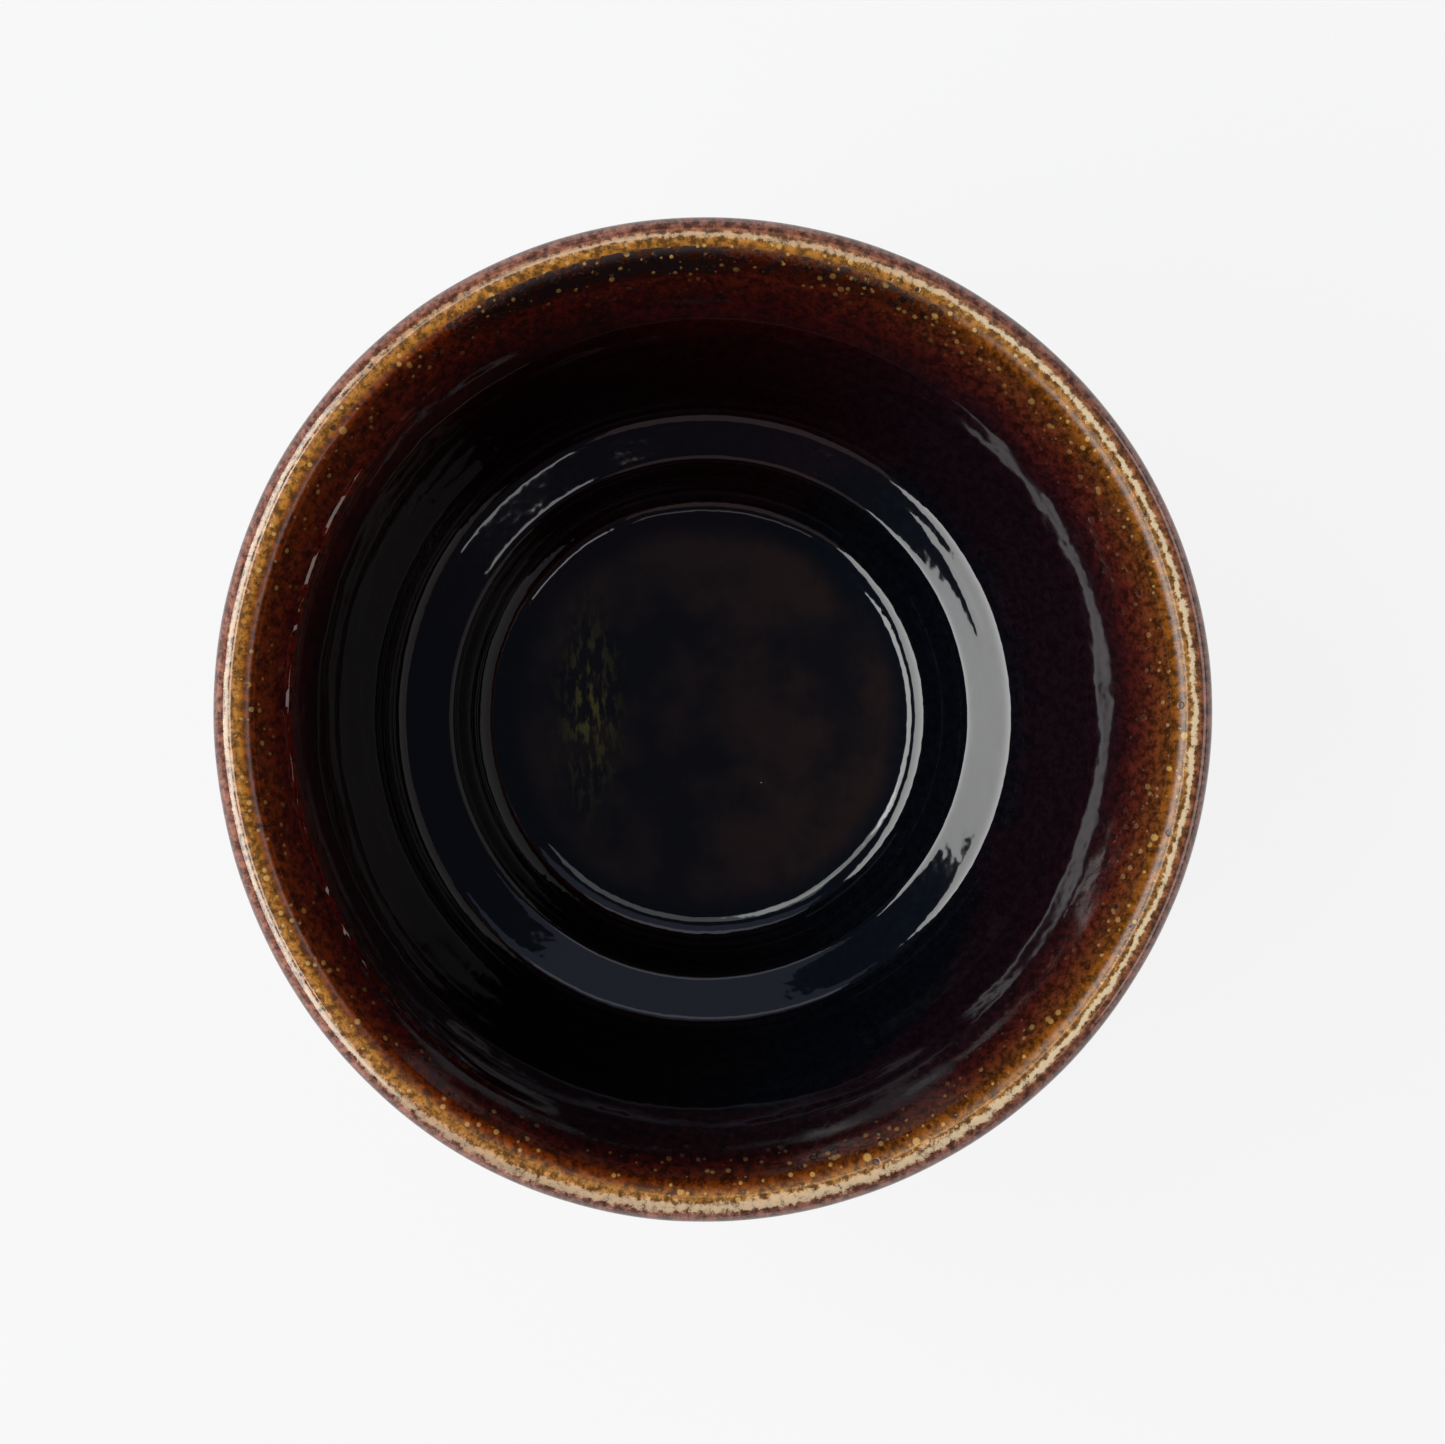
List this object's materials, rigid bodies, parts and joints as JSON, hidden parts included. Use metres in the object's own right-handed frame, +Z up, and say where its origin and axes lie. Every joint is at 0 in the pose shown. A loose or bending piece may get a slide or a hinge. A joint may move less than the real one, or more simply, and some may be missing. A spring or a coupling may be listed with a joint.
{
  "type": "sake cup",
  "caption": "Deep wheel-thrown stoneware sake cup with a sunk well in the floor, a rounded lip, fired glaze coats and a low foot ring that leaves the base bare.",
  "frame": {"origin": "centre of the circle that the foot ring stands on, on the ground plane", "axes": "+Z up along the cup's axis of turning, towards the mouth; +X and +Y level, and alike because the cup is round"},
  "size_m": [0.08, 0.08, 0.062],
  "materials": {
    "stoneware": "bare fired clay, matte",
    "black_glaze": "glossy iron black, amber towards the lip",
    "lip_glaze": "glossy, thinned to amber and pale cream",
    "brown_glaze": "glossy purple brown"
  },
  "bodies": {
    "root": {"clay_body": "stoneware", "foot_ring": "stoneware", "inside_glaze": "black_glaze", "lip_glaze": "lip_glaze", "outside_glaze": "brown_glaze"}
  },
  "joints": []
}
